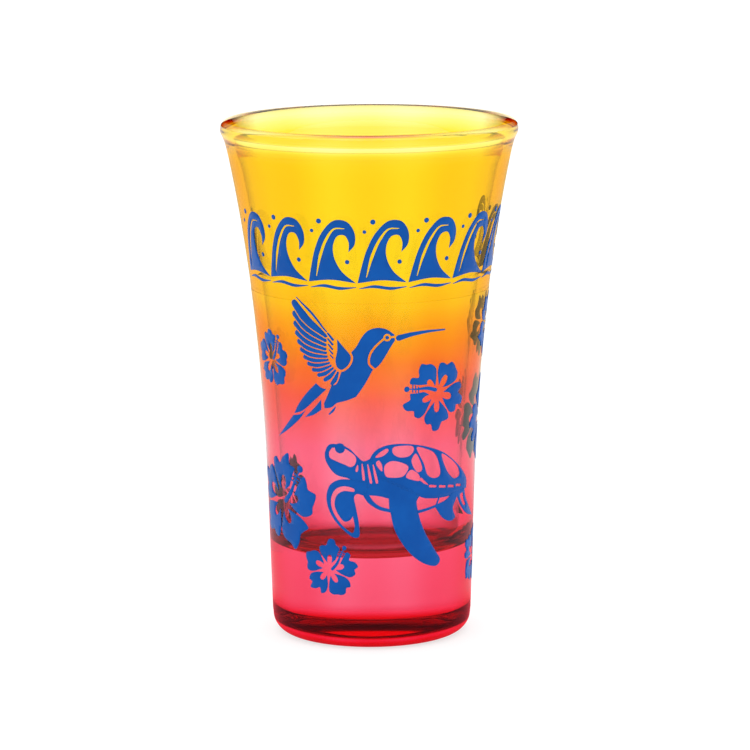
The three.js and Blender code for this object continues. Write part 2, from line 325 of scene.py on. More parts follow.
SKIN_SHARE = 0.4  # the part of a film's tint that its outer surface gives
SLANT_POWER = 2.0  # how fast a film looks deeper as light crosses it at more of a slant
# Soft upright columns of painted light round the glass, made as thinner and thicker film.
LIGHT_COLUMNS = 10
LIGHT_COLUMN_DEPTH = 0.1  # how much stronger or weaker each painted light column makes the film
SPRAY_CLOUDS = 0.3  # the span of strength in the unevenness on top of that
SPRAY_CLOUDS_PER_METRE = (70, 70, 12)


def tint(colour, strength):
    """The colour that a film of this strength gives, where full strength gives colour."""
    return tuple(channel**strength for channel in colour) + (1.0,)


def spray_and_light_column_output(tree):
    """Soft upright bands, a little more or less than 1, that paint soft columns of light round the glass
    as thinner and thicker film, with some random unevenness on top."""
    parts = place_parts(tree)
    azimuth = math_output(tree, "ARCTAN2", parts["X"], math_output(tree, "MULTIPLY", parts["Y"], -1.0))
    bands = math_output(tree, "COSINE", math_output(tree, "MULTIPLY", azimuth, LIGHT_COLUMNS))
    stretch = tree.nodes.new("ShaderNodeMapping")
    stretch.inputs["Scale"].default_value = SPRAY_CLOUDS_PER_METRE
    tree.links.new(place_output(tree), stretch.inputs["Vector"])
    cloud = tree.nodes.new("ShaderNodeTexNoise")
    cloud.inputs["Scale"].default_value = 1.0
    cloud.inputs["Detail"].default_value = 1.0
    tree.links.new(stretch.outputs["Vector"], cloud.inputs["Vector"])
    uneven = math_output(tree, "MULTIPLY", cloud.outputs["Fac"], SPRAY_CLOUDS)
    around_one = math_output(tree, "ADD", uneven, 1 - SPRAY_CLOUDS / 2)
    return math_output(tree, "ADD", math_output(tree, "MULTIPLY", bands, LIGHT_COLUMN_DEPTH), around_one)


def slant_output(tree):
    """How much deeper a film looks where light crosses it at a slant, after glass has bent it."""
    cosine = math_output(tree, "SUBTRACT", 1.0, facing_output(tree))
    sine_squared = math_output(tree, "SUBTRACT", 1.0, math_output(tree, "MULTIPLY", cosine, cosine))
    bent_sine_squared = math_output(tree, "DIVIDE", sine_squared, GLASS_IOR**2)
    bent_cosine_squared = math_output(tree, "SUBTRACT", 1.0, bent_sine_squared)
    return math_output(tree, "POWER", bent_cosine_squared, -SLANT_POWER)


def film_colour(tree, colour, stops, share):
    """The tint that a film gives, from its (height, strength) stops. share is the part of the tint
    that this surface gives."""
    tints = [(height, tint(colour, strength * share)) for height, strength in stops]
    straight = height_ramp(tree, tints)
    slanted = tree.nodes.new("ShaderNodeGamma")
    tree.links.new(straight, slanted.inputs["Color"])
    depth = math_output(tree, "MULTIPLY", slant_output(tree), spray_and_light_column_output(tree))
    tree.links.new(depth, slanted.inputs["Gamma"])
    return slanted.outputs["Color"]


def film_material(name, colour, stops, share):
    """A surface of a film that touches glass or another film."""
    material, tree, shader = clear_material(name, BONDED_IOR)
    tree.links.new(film_colour(tree, colour, stops, share), shader.inputs["Base Color"])
    return material


def skin_material(name, colour, stops):
    """The outermost surface of a film, where light bends, and where reflections take a colour by height,
    partly the film's own tint and partly painted reflection. Its share is halved, because the
    Principled shader of the other surfaces gives only the square root of its colour to the light that
    passes."""
    material, tree, passed, mirrored = bending_material(name)
    tree.links.new(film_colour(tree, colour, stops, SKIN_SHARE / 2), passed)
    tree.links.new(height_ramp(tree, PAINTED_REFLECTION_STOPS), mirrored)
    return material


def film_materials(name, colour, stops):
    """The materials of a film that no other film covers: its underside, and its skin."""
    under = film_material(f"{name}_under", colour, stops, 1 - SKIN_SHARE)
    return [under, skin_material(f"{name}_skin", colour, stops)]


# ---- Material of the ink ----

INK_BLUES = [(0.35, linear(2, 75, 155)), (0.65, linear(5, 83, 165))]  # stops over the clouds
INK_CLOUDS_PER_METRE = 220
INK_CLOUD_DETAIL = 3
INK_GRAINS_PER_METRE = 4500
INK_GRAIN_STRENGTH = 0.12
INK_GRAIN_HEIGHT = 0.00002  # metres
INK_ROUGHNESS = 0.38
INK_GLOSS = 0.1


def ink_material(name, gloss):
    """Opaque satin ink, a little uneven where the squeegee laid more or less of it, with the fine
    grain that the screen leaves."""
    material, tree, shader = new_material(name)
    cloud = tree.nodes.new("ShaderNodeTexNoise")
    cloud.inputs["Scale"].default_value = INK_CLOUDS_PER_METRE
    cloud.inputs["Detail"].default_value = INK_CLOUD_DETAIL
    tree.links.new(place_output(tree), cloud.inputs["Vector"])
    tree.links.new(ramp_output(tree, cloud.outputs["Fac"], INK_BLUES), shader.inputs["Base Color"])
    grain = tree.nodes.new("ShaderNodeTexVoronoi")
    grain.inputs["Scale"].default_value = INK_GRAINS_PER_METRE
    tree.links.new(place_output(tree), grain.inputs["Vector"])
    bump = tree.nodes.new("ShaderNodeBump")
    bump.inputs["Strength"].default_value = INK_GRAIN_STRENGTH
    bump.inputs["Distance"].default_value = INK_GRAIN_HEIGHT
    tree.links.new(grain.outputs["Distance"], bump.inputs["Height"])
    tree.links.new(bump.outputs["Normal"], shader.inputs["Normal"])
    shader.inputs["Roughness"].default_value = INK_ROUGHNESS
    shader.inputs["Specular IOR Level"].default_value = gloss
    return material


# ---- Studio ----

WORLD_STRENGTH = 1.2
TABLE_GLOW = 0.68
TABLE_GREY = (0.4, 0.4, 0.4, 1)
TABLE_ROUGHNESS = 0.9
TABLE_HALF = 3.0  # metres
GLASS_BOUNCES = 40
GLOSSY_BOUNCES = 12


def make_floor():
    """A white table that is lit from below as well, so that the base of the glass glows."""
    corners = [(-1, -1), (1, -1), (1, 1), (-1, 1)]
    mesh = bpy.data.meshes.new("floor")
    mesh.from_pydata([(x * TABLE_HALF, y * TABLE_HALF, 0) for x, y in corners], [], [(0, 1, 2, 3)])
    floor = bpy.data.objects.new("floor", mesh)
    bpy.context.scene.collection.objects.link(floor)
    material, _, shader = new_material("floor_paper")
    shader.inputs["Base Color"].default_value = TABLE_GREY
    shader.inputs["Roughness"].default_value = TABLE_ROUGHNESS
    shader.inputs["Specular IOR Level"].default_value = 0.0
    shader.inputs["Emission Color"].default_value = WHITE
    shader.inputs["Emission Strength"].default_value = TABLE_GLOW
    mesh.materials.append(material)


def make_world():
    """Even white light from all round, which the glass shows as a white background."""
    world = bpy.data.worlds.new("studio")
    world.use_nodes = True
    background = world.node_tree.nodes["Background"]
    background.inputs["Color"].default_value = WHITE
    background.inputs["Strength"].default_value = WORLD_STRENGTH
    bpy.context.scene.world = world


def set_render_look():
    """Plain colours, and enough bounces for light to get through all the surfaces of the glass."""
    scene = bpy.context.scene
    scene.view_settings.view_transform = "Standard"
    scene.cycles.max_bounces = GLASS_BOUNCES
    scene.cycles.transmission_bounces = GLASS_BOUNCES
    scene.cycles.glossy_bounces = GLOSSY_BOUNCES
    scene.cycles.transparent_max_bounces = GLASS_BOUNCES


# ---- Pieces ----

SEGMENTS = 192
FLAT = 10  # added to the material index of a band that isn't shaded smooth


def make_piece(name, node, verts, faces, indices, smooth, materials):
    """A piece that shows the looks of a CAD node. Each face has a material index and is shaded
    smooth or not."""
    mesh = bpy.data.meshes.new(name)
    mesh.from_pydata(verts, [], faces)
    mesh.polygons.foreach_set("use_smooth", smooth)
    mesh.polygons.foreach_set("material_index", indices)
    for material in materials:
        mesh.materials.append(material)
    mesh.update()
    piece = bpy.data.objects.new(name, mesh)
    bpy.context.scene.collection.objects.link(piece)
    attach(piece, "root")
    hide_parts(node)


def make_turned(name, node, profile, materials, closed):
    """A piece turned from (radius, height, material index) points. A point's index is that of the
    band from it to the next. The profile is closed, or has both its ends on the axis."""
    verts, rings = [], []
    for radius, height, _ in profile:
        if radius < TOUCH:
            rings.append([len(verts)] * SEGMENTS)
            verts.append((0, 0, height * MM))
            continue
        rings.append(list(range(len(verts), len(verts) + SEGMENTS)))
        for step in range(SEGMENTS):
            angle = 2 * math.pi * step / SEGMENTS
            verts.append((radius * math.sin(angle) * MM, -radius * math.cos(angle) * MM, height * MM))
    faces, bands = [], []
    for band in range(len(profile) if closed else len(profile) - 1):
        low, high = rings[band], rings[(band + 1) % len(rings)]
        for step in range(SEGMENTS):
            after = (step + 1) % SEGMENTS
            corners = list(dict.fromkeys([low[step], low[after], high[after], high[step]]))
            if len(corners) > 2:
                faces.append(corners)
                bands.append(profile[band][2])
    indices = [index % FLAT for index in bands]
    smooth = [index < FLAT for index in bands]
    make_piece(name, node, verts, faces, indices, smooth, materials)


# ---- Lines of a section ----


def between(start, end, share):
    return start + (end - start) * share


def bow(start, pull, end, share):
    """A point on the curve from start to end that bends towards pull."""
    start, pull, end = Vector(start), Vector(pull), Vector(end)
    return between(between(start, pull, share), between(pull, end, share), share)


def oval(centre_radius, centre_height, half_width, half_height, start, end, steps):
    """(radius, height) points round an oval, in degrees from straight outwards and up."""
    points = []
    for step in range(steps + 1):
        angle = math.radians(start + (end - start) * step / steps)
        across, up = half_width * math.cos(angle), half_height * math.sin(angle)
        points.append((centre_radius + across, centre_height + up))
    return points


def arc(centre_radius, centre_height, radius, start, end, steps):
    return oval(centre_radius, centre_height, radius, radius, start, end, steps)


def lip_line(start, end, steps):
    centre = RIM_RADIUS - LIP_HALF_WIDTH
    return oval(centre, LIP_CENTRE, LIP_HALF_WIDTH, LIP_HALF_HEIGHT, start, end, steps)


def offset_rows(rows, distance):
    """The line through these (radius, height) points, moved outwards along its own normals."""
    points = []
    for index, (radius, height) in enumerate(rows):
        before = rows[max(index - 1, 0)]
        after = rows[min(index + 1, len(rows) - 1)]
        along = Vector((after[0] - before[0], after[1] - before[1])).normalized()
        points.append((radius + along.y * distance, height - along.x * distance))
    return points


def with_material(points, index):
    """The points of a profile whose bands all have this material index."""
    return [(radius, height, index) for radius, height in points]


# ---- Section of the glass ----

ROW_STEP = 0.75
HEM = 0.02  # rows this close to a film's end keep the smooth shading off the end itself
STAND = 0.07  # height of the glass above the table, for the film under it

# Places on the lip, in degrees up from its outermost point.
LIP_START = -35
LIP_COAT_END = 30
LIP_END = 190

LIP_BLEND_PULL = 0.7  # the share of the blend's height up to which it follows the wall's direction
INNER_ROWS_START = INNER_START + 1  # the first row above the floor's rounded edge

# How many steps a round or sloping stretch has.
PUNT_STEPS = 20
HEEL_STEPS = 14
BLEND_STEPS = 6
COATED_LIP_STEPS = 12
BARE_LIP_STEPS = 20
FILLET_STEPS = 12
FLOOR_STEPS = 8


def lip_blend():
    """The curve by which the wall widens into the lip, between the two."""
    start = Vector((wall_radius(WALL_TOP), WALL_TOP))
    end = Vector(lip_line(LIP_START, LIP_COAT_END, 1)[0])
    lean = Vector((wall_radius.deriv()(WALL_TOP), 1))
    pull = start + lean * (end.y - start.y) * LIP_BLEND_PULL
    return [tuple(bow(start, pull, end, step / BLEND_STEPS)) for step in range(1, BLEND_STEPS)]


def even_heights(low, high):
    """Heights from low to high, spread evenly and about a row step apart."""
    steps = round((high - low) / ROW_STEP)
    return [low + (high - low) * step / steps for step in range(steps + 1)]


def wall_heights():
    """The heights of the wall's rows, which lie close together at the ends of the films."""
    seams = [YELLOW_BOTTOM, YELLOW_BOTTOM + HEM, PINK_TOP - HEM, PINK_TOP]
    rows = even_heights(HEEL_RADIUS, WALL_TOP)[1:]
    rows = [h for h in rows if min(abs(h - seam) for seam in seams) > ROW_STEP / 2]
    return sorted(rows + seams)


def outside_line():
    """The glass's outside from the middle of its underside to the coat's end on the lip, raised a
    little so that the film under it still stands on the table."""
    shares = [step / PUNT_STEPS for step in range(PUNT_STEPS)] + [1 - HEM / PUNT_RADIUS, 1]
    punt = [(PUNT_RADIUS * share, max(PUNT_DEPTH * (1 - share**2), STAND)) for share in shares]
    ring = [(PUNT_RADIUS + HEM, STAND)]
    heel = arc(RING_RADIUS, HEEL_RADIUS, HEEL_RADIUS - STAND, -90, 0, HEEL_STEPS)
    wall = [(float(wall_radius(h)), h) for h in wall_heights()]
    lip = lip_line(LIP_START, LIP_COAT_END - 1, COATED_LIP_STEPS)
    lip += lip_line(LIP_COAT_END, LIP_COAT_END, 1)[:1]
    return punt + ring + heel + wall + lip_blend() + lip


OUTSIDE = outside_line()
LIP, BONDED, WALL, FLOOR = range(4)


def glass_profile():
    """The body's section. Its bands under a coat are bonded to it, so light doesn't bend there."""
    coated = OUTSIDE[:-1]
    lip = lip_line(LIP_COAT_END, LIP_END, BARE_LIP_STEPS)
    inner = [(float(inner_radius(h)), h) for h in reversed(even_heights(INNER_ROWS_START, WALL_TOP))]
    fillet_centre = float(inner_radius(INNER_START)) - FLOOR_FILLET
    fillet = arc(fillet_centre, INNER_START, FLOOR_FILLET, 0, -90, FILLET_STEPS)
    shares = [1 - step / FLOOR_STEPS for step in range(1, FLOOR_STEPS + 1)]
    floor = [(fillet_centre * share, FLOOR_HEIGHT) for share in shares]
    return (
        with_material(coated, BONDED)
        + with_material(lip, LIP)
        + with_material(inner, WALL)
        + with_material(fillet + floor, FLOOR)
    )


# ---- Glass and coats ----

UNDER, SKIN, COVERED = range(3)
FILM = 0.02
YELLOW_OFFSET = 0.01
PINK_OFFSET = YELLOW_OFFSET + FILM + 0.01


def make_glass():
    materials = [lip_material(), bonded_material(), bowl_wall_material(), bowl_floor_material()]
    make_turned("glass", "glass_body", glass_profile(), materials, closed=False)


def film_section(rows, offset, skin_from=0.0):
    """The section of a film over these rows of the glass. Its outside is the outermost surface from
    skin_from upwards, and covered by another film below that. It closes on the axis, or with a
    narrow flat band."""
    indices = [SKIN if height >= skin_from - TOUCH else COVERED for _, height in rows]
    outside = [(*point, index) for point, index in zip(offset_rows(rows, offset + FILM), indices)]
    outside[-1] = (*outside[-1][:2], indices[-1] + FLAT)
    underside = with_material(reversed(offset_rows(rows, offset)), UNDER)
    underside[-1] = (*underside[-1][:2], UNDER + FLAT)
    return outside + underside


def first_row(height):
    """The index of the first row of the wall at this height or above."""
    return next(index for index, (_, level) in enumerate(OUTSIDE) if level > height - TOUCH)


def make_yellow_coat():
    materials = film_materials("yellow", YELLOW, YELLOW_STOPS)
    materials.append(film_material("yellow_covered", YELLOW, YELLOW_STOPS, SKIN_SHARE))
    section = film_section(OUTSIDE[first_row(YELLOW_BOTTOM) :], YELLOW_OFFSET, skin_from=PINK_TOP)
    make_turned("yellow_coat_film", "yellow_coat", section, materials, closed=True)


def make_pink_coats():
    """The pink coat and the base coat, which meet at the inner edge of the standing ring."""
    pink = film_materials("pink", PINK, PINK_STOPS)
    base = film_materials("base", PINK, BASE_STOPS)
    ring = next(index for index, (radius, _) in enumerate(OUTSIDE) if radius > PUNT_RADIUS - TOUCH)
    pink_section = film_section(OUTSIDE[ring : first_row(PINK_TOP) + 1], PINK_OFFSET)
    base_section = film_section(OUTSIDE[: ring + 1], PINK_OFFSET)
    make_turned("pink_coat_film", "pink_coat", pink_section, pink, closed=True)
    make_turned("base_coat_film", "base_coat", base_section, base, closed=False)


# ---- Flat drawing ----
# The print is drawn flat, across to the right as seen from outside, and up, from the motif's place.
# A drawing is a list of loops that are laid on each other in turn: INK adds ink inside a loop and
# BARE takes it away again.

INK, BARE = True, False
CURVE_STEP = 0.25
DISC_CORNERS = 12
CAP_STEPS = 4


def span(before, start, end, after):
    """Points of a smooth curve from start up to end, led by its neighbours."""
    knots = [0.0]
    for first, second in ((before, start), (start, end), (end, after)):
        knots.append(knots[-1] + math.sqrt((second - first).length))

    def slope(low, middle, high, index):
        first = knots[index] - knots[index - 1]
        second = knots[index + 1] - knots[index]
        return (middle - low) / first - (high - low) / (first + second) + (high - middle) / second

    width = knots[2] - knots[1]
    leave = slope(before, start, end, 1) * width
    arrive = slope(start, end, after, 2) * width
    steps = max(2, round((end - start).length / CURVE_STEP))
    points = []
    for step in range(steps):
        t = step / steps
        points.append(
            start * (2 * t**3 - 3 * t**2 + 1)
            + leave * (t**3 - 2 * t**2 + t)
            + end * (3 * t**2 - 2 * t**3)
            + arrive * (t**3 - t**2)
        )
    return points


def smooth_run(points):
    """A smooth open line through the points."""
    if len(points) < 2:
        return points
    ends = [2 * points[0] - points[1], *points, 2 * points[-1] - points[-2]]
    run = []
    for index in range(1, len(points)):
        run += span(*ends[index - 1 : index + 3])
    return run + [points[-1]]


def line(*points):
    return smooth_run([Vector(point) for point in points])


def loop(*points):
    """A smooth closed outline through the points. A point given twice is a sharp corner."""
    points = [Vector(point) for point in points]
    corners = [i for i in range(len(points)) if (points[i] - points[i - 1]).length < TOUCH]
    if not corners:
        ring = points[-1:] + points + points[:2]
        return [p for i in range(1, len(points) + 1) for p in span(*ring[i - 1 : i + 3])]
    outline = []
    for index, corner in enumerate(corners):
        following = corners[(index + 1) % len(corners)]
        length = (following - corner) % len(points) or len(points)
        run = [points[(corner + step) % len(points)] for step in range(length)]
        outline += smooth_run(run)[:-1]
    return outline


def stroke(centre_line, *widths):
    """A brush stroke with round ends. Its width goes evenly through the given widths."""
    last = len(centre_line) - 1
    left, right = [], []
    for index, point in enumerate(centre_line):
        before, after = centre_line[max(index - 1, 0)], centre_line[min(index + 1, last)]
        across = (after - before).orthogonal().normalized()
        share = index / last * (len(widths) - 1)
        step = min(int(share), len(widths) - 2)
        width = widths[step] + (widths[step + 1] - widths[step]) * (share - step)
        left.append(point + across * width / 2)
        right.append(point - across * width / 2)
    return left + cap(left[-1], right[-1]) + right[::-1] + cap(right[0], left[0])


def cap(start, end):
    """The round end between the two sides of a stroke."""
    middle = (start + end) / 2
    arm = start - middle
    if arm.length < TOUCH:
        return []
    turns = [math.pi * step / CAP_STEPS for step in range(1, CAP_STEPS)]
    return [middle + Matrix.Rotation(-turn, 2) @ arm for turn in turns]


def disc(centre, radius):
    turns = [2 * math.pi * step / DISC_CORNERS for step in range(DISC_CORNERS)]
    return [Vector(centre) + radius * Vector((math.cos(turn), math.sin(turn))) for turn in turns]


def grown(outline, distance):
    """The outline moved outwards all round, for the bare line that sets one shape off from another."""
    pairs = list(zip(outline, outline[1:] + outline[:1]))
    turn = math.copysign(1, sum(a.x * b.y - a.y * b.x for a, b in pairs))
    points = []
    for index, point in enumerate(outline):
        along = outline[(index + 1) % len(outline)] - outline[index - 1]
        points.append(point - along.orthogonal().normalized() * distance * turn)
    return points


# ---- The hummingbird ----

FEATHERS = 12
COVERTS = 5
BARE_LINE = 0.34
FEATHER_GAP = 0.17


def feather(root, tip, width):
    """A flight feather: it widens to a blunt tip and bends a little downwards."""
    along = tip - root
    sag = along.orthogonal().normalized() * along.length * 0.05
    middle = between(root, tip, 0.55) + sag
    return stroke(line(root, middle, tip), width * 0.45, width * 0.8, width, width * 0.8)


def bird_wing():
    """Flight feathers that fan out from the shoulder, each set off from the next by a bare line."""
    drawing = []
    for index in reversed(range(FEATHERS)):
        share = index / (FEATHERS - 1)
        tip = bow((-12.8, 10.5), (-12.9, 0.7), (-6.1, -2.2), share)
        root = bow((-7.1, 5.6), (-7.8, 1.2), (-5.1, -0.3), share)
        plume = feather(root, tip, 1.5 - 0.75 * share**0.7)
        drawing.append((BARE, grown(plume, FEATHER_GAP)))
        drawing.append((INK, plume))
    edge = line((-12.4, 11.5), (-9.4, 9.0), (-7.0, 6.3), (-5.6, 5.2))
    drawing.append((BARE, stroke(edge, 0.4, 0.75, 0.7)))
    drawing.append((INK, stroke(edge, 0.14, 0.4, 0.3, 0.12)))
    for index in range(COVERTS):
        share = index / (COVERTS - 1)
        root = bow((-5.9, 5.0), (-6.1, 3.4), (-5.9, 2.0), share)
        tip = root + Vector((-0.85 + 0.35 * share, 1.0 - 0.5 * share))
        mark = stroke(line(root, tip), 0.42 - 0.2 * share, 0.3 - 0.12 * share)
        drawing.append((BARE, grown(mark, FEATHER_GAP)))
        drawing.append((INK, mark))
    return drawing


def bird_body():
    silhouette = loop(
        (3.9, 5.9), (3.9, 5.9), (2.7, 6.75), (1.1, 7.05), (-0.4, 6.5), (-1.4, 5.3), (-2.1, 4.0),
        (-2.9, 3.1), (-2.9, 3.1), (-3.4, 1.4), (-4.6, -0.3), (-4.6, -0.3), (-5.0, -1.5), (-5.5, -2.3),
        (-6.2, -2.5), (-6.2, -2.5), (-7.0, -4.4), (-7.5, -5.6), (-7.4, -6.3), (-7.4, -6.3), (-6.3, -6.1),
        (-5.3, -5.3), (-5.3, -5.3), (-3.6, -4.8), (-2.2, -4.2), (-2.2, -4.2), (-0.9, -2.3), (0.4, 0.1),
        (0.4, 0.1), (1.4, 0.9), (2.4, 2.3), (3.2, 3.7), (4.0, 4.9), (4.0, 4.9),
    )
    shoulder = loop(
        (-5.2, 5.1), (-5.2, 5.1), (-4.2, 3.9), (-3.0, 2.3), (-3.4, 1.0), (-4.5, 0.15), (-5.2, 0.5),
        (-5.5, 1.6), (-5.2, 3.2),
    )
    throat_line = line((0.8, 0.2), (-0.1, 1.2), (0.0, 2.6), (0.9, 4.0), (2.2, 5.2))
    foot = line((-6.6, -7.2), (-6.0, -6.6), (-5.6, -6.0))
    return [
        (INK, silhouette),
        (BARE, grown(shoulder, BARE_LINE)),
        (INK, shoulder),
        (BARE, stroke(throat_line, BARE_LINE, BARE_LINE)),
        (BARE, disc((2.75, 5.42), 0.62)),
        (BARE, stroke(line((3.0, 5.35), (3.6, 5.5), (4.3, 5.45)), 0.3, 0.36)),
        (INK, disc((2.75, 5.42), 0.31)),
        (BARE, stroke(line((-6.2, -6.4), (-5.4, -5.6), (-4.7, -5.6)), 0.3, 0.3)),
        (INK, stroke(foot, 0.25, 0.4, 0.2)),
    ]


def bird_bill():
    upper = line((4.6, 5.3), (6.6, 5.75), (9.6, 6.05), (12.8, 6.05))
    return [(INK, stroke(upper, 0.95, 0.62, 0.4, 0.24))]


def bird_tail():
    outer = loop(
        (-8.9, -2.3), (-8.9, -2.3), (-10.9, -4.3), (-12.5, -6.3), (-13.3, -7.7), (-13.3, -7.7),
        (-11.6, -7.1), (-9.2, -5.1), (-7.1, -3.2), (-7.1, -3.2), (-8.1, -2.9),
    )
    tip = loop(
        (-13.5, -8.0), (-13.5, -8.0), (-15.3, -9.9), (-17.4, -12.0), (-17.4, -12.0), (-14.9, -10.6),
        (-12.2, -8.5), (-10.9, -6.9), (-10.9, -6.9), (-12.1, -7.7),
    )
    inner = loop(
        (-8.0, -4.9), (-8.0, -4.9), (-9.3, -6.4), (-11.1, -8.1), (-11.1, -8.1), (-9.5, -7.6),
        (-8.0, -6.6), (-8.0, -6.6),
    )
    return [(INK, outer), (INK, tip), (INK, inner)]


# ---- The turtle ----


def neck_slots():
    """The bare folds of the neck, which run on over the shell's edge and the flipper."""
    folds = [
        line((-8.2, 3.6), (-8.35, 2.7)),
        line((-7.5, 3.85), (-7.2, 1.3)),
        line((-6.6, 3.75), (-6.05, 0.8)),
        line((-5.75, 3.7), (-5.1, 0.8)),
    ]
    return [(BARE, stroke(fold, 0.14, 0.4, 0.4)) for fold in folds]


def turtle_head():
    head = loop(
        (-5.9, 2.2), (-5.9, 2.2), (-6.0, 4.8), (-6.0, 4.8), (-7.3, 4.3), (-8.3, 5.1), (-9.6, 6.3),
        (-11.2, 6.9), (-12.9, 6.8), (-13.6, 5.6), (-13.6, 4.5), (-12.8, 3.0), (-11.6, 1.9), (-9.9, 1.5),
        (-9.9, 1.5), (-8.6, 0.9), (-7.6, 0.1), (-7.6, 0.1), (-6.0, -0.1), (-6.0, -0.1),
    )
    cheek = loop(
        (-12.8, 4.7), (-12.9, 5.6), (-12.4, 6.3), (-12.4, 6.3), (-11.0, 6.5), (-9.6, 5.9), (-8.5, 4.9),
        (-8.6, 3.8), (-9.3, 3.3), (-10.4, 3.7), (-11.8, 4.2),
    )
    return [(INK, head), (BARE, cheek), (INK, disc((-11.1, 6.3), 0.85))] + neck_slots()


def turtle_shell():
    shell = loop(
        (-6.3, 2.2), (-6.3, 2.2), (-6.4, 4.2), (-5.6, 5.8), (-4.1, 6.7), (-2.0, 7.0), (0.7, 6.75),
        (3.4, 6.1), (6.4, 4.9), (9.4, 2.9), (11.8, 0.9), (13.1, -0.7), (13.1, -2.1), (13.1, -2.1),
        (9.8, -2.5), (6.0, -2.6), (3.0, -2.3), (1.9, -1.9), (1.9, -1.9), (0.6, -1.2), (-1.8, 0.0),
        (-4.2, 1.2),
    )
    scutes = [
        loop((-5.4, 4.9), (-4.7, 5.7), (-3.5, 6.3), (-3.3, 6.0), (-4.2, 5.1)),
        loop((-2.6, 6.4), (-1.0, 6.65), (0.7, 6.4), (0.9, 5.8), (0.1, 4.9), (-1.6, 4.8), (-2.6, 5.5)),
        loop(
            (1.4, 6.2), (3.2, 5.75), (4.7, 4.9), (5.7, 3.0), (5.9, 1.2), (4.9, 0.8), (3.5, 1.4),
            (2.7, 3.4),
        ),
        loop((6.2, 4.6), (8.4, 3.4), (10.3, 1.7), (10.7, 0.5), (9.4, 0.1), (7.7, 1.3)),
        loop((-3.9, 3.5), (-2.9, 4.2), (-1.2, 3.9), (0.0, 3.1), (-0.8, 1.7), (-2.6, 1.5), (-3.7, 1.8)),
        loop((0.5, 4.1), (1.2, 5.2), (1.9, 4.2), (2.4, 2.4), (1.6, 2.1)),
        loop((-0.4, 1.5), (0.4, 2.6), (1.9, 1.6), (2.0, 0.7), (0.8, 0.9)),
        loop((-5.3, 4.0), (-4.9, 4.4), (-4.4, 3.8), (-4.3, 2.6), (-4.7, 2.9)),
        stroke(line((2.2, 0.9), (2.9, 0.3), (3.5, -0.1)), 0.5, 0.42, 0.14),
    ]
    starts = [(3.9, -0.4), (5.9, -0.7), (7.9, -0.95), (9.9, -1.1)]
    dashes = [stroke(line((x, y), (x + 1.15, y - 0.2)), 0.42, 0.36) for x, y in starts]
    return [(INK, shell)] + [(BARE, shape) for shape in scutes + dashes] + neck_slots()


def turtle_front_flipper():
    limb = loop(
        (-6.3, 2.2), (-6.3, 2.2), (-4.2, 1.6), (-1.8, 0.5), (0.6, -0.8), (2.1, -1.7), (2.1, -1.7),
        (1.5, -2.6), (1.8, -4.6), (1.8, -4.6), (2.3, -6.2), (3.3, -8.4), (4.8, -10.8), (6.1, -12.9),
        (5.4, -13.7), (3.4, -13.3), (1.1, -11.8), (-0.9, -9.5), (-2.3, -6.8), (-2.9, -4.2), (-2.9, -4.2),
        (-4.7, -3.7), (-6.4, -2.6), (-7.2, -1.5), (-7.2, -1.5), (-7.0, 0.6), (-7.0, 0.6),
    )
    belly = loop(
        (-6.3, -1.3), (-6.3, -1.3), (-4.8, -1.45), (-3.2, -1.9), (-3.2, -1.9), (-3.1, -3.6),
        (-3.1, -3.6), (-4.6, -3.1), (-5.6, -2.3),
    )
    return [(INK, limb), (BARE, belly)] + neck_slots()


def turtle_side_flipper():
    limb = loop(
        (-6.6, 0.9), (-6.6, 0.9), (-9.3, 1.25), (-11.3, 1.1), (-12.7, 0.2), (-13.3, -1.5), (-13.1, -3.3),
        (-12.1, -5.3), (-10.4, -7.1), (-8.6, -8.3), (-7.9, -8.1), (-7.9, -6.0), (-8.4, -3.4),
        (-8.7, -1.6), (-8.3, -1.1), (-6.8, -1.5), (-6.8, -1.5),
    )
    open_edge = loop(
        (-8.7, -0.3), (-10.4, 0.1), (-11.8, -0.5), (-12.5, -1.9), (-12.4, -3.6), (-11.5, -5.3),
        (-10.2, -6.7), (-8.9, -7.5), (-8.6, -6.4), (-8.9, -4.8), (-8.9, -4.8), (-9.3, -5.4),
        (-10.2, -5.7), (-11.2, -4.7), (-11.9, -3.1), (-11.6, -1.5), (-10.5, -0.7), (-8.7, -0.7),
    )
    return [(INK, limb), (BARE, open_edge)]


def turtle_rear_flippers():
    belly_line = line((1.8, -4.4), (3.2, -4.2), (5.2, -3.8), (7.4, -3.3), (8.9, -2.4))
    hind = loop(
        (4.9, -3.9), (4.9, -3.9), (7.2, -3.4), (9.2, -2.1), (9.2, -2.1), (10.9, -2.1), (10.9, -2.1),
        (9.6, -3.7), (9.0, -4.8), (9.6, -6.4), (8.4, -6.8), (6.6, -6.0),
    )
    far = loop(
        (9.6, -2.1), (9.6, -2.1), (11.4, -4.9), (13.6, -6.5), (16.4, -7.3), (16.4, -7.3), (14.2, -5.2),
        (12.8, -3.3), (12.4, -1.9), (12.4, -1.9),
    )
    gap = loop((11.0, -2.9), (11.9, -2.7), (12.1, -3.6), (12.9, -4.9), (12.2, -4.8), (11.4, -3.9))
    return [
        (INK, stroke(belly_line, 0.5, 0.4, 0.5)),
        (INK, stroke(line((5.9, -2.2), (5.2, -3.8)), 0.26, 0.3)),
        (INK, hind),
        (INK, far),
        (BARE, gap),
    ]


# ---- Hibiscus flowers ----

PETALS = 5
PETAL_ANGLE = 360 / PETALS

# A petal's outline: degrees from its middle, and shares of the flower's size.
PETAL = [
    (-8, 0.2), (-31, 0.42), (-34, 0.66), (-29, 0.88), (-20, 0.90), (-12, 0.84), (-3, 1.0), (7, 1.02),
    (13, 0.88), (22, 0.90), (32, 0.76), (33, 0.5), (8, 0.2),
]
FRILL = (0.93, 1.07)
THROAT_DEPTH = (0.48, 0.58)

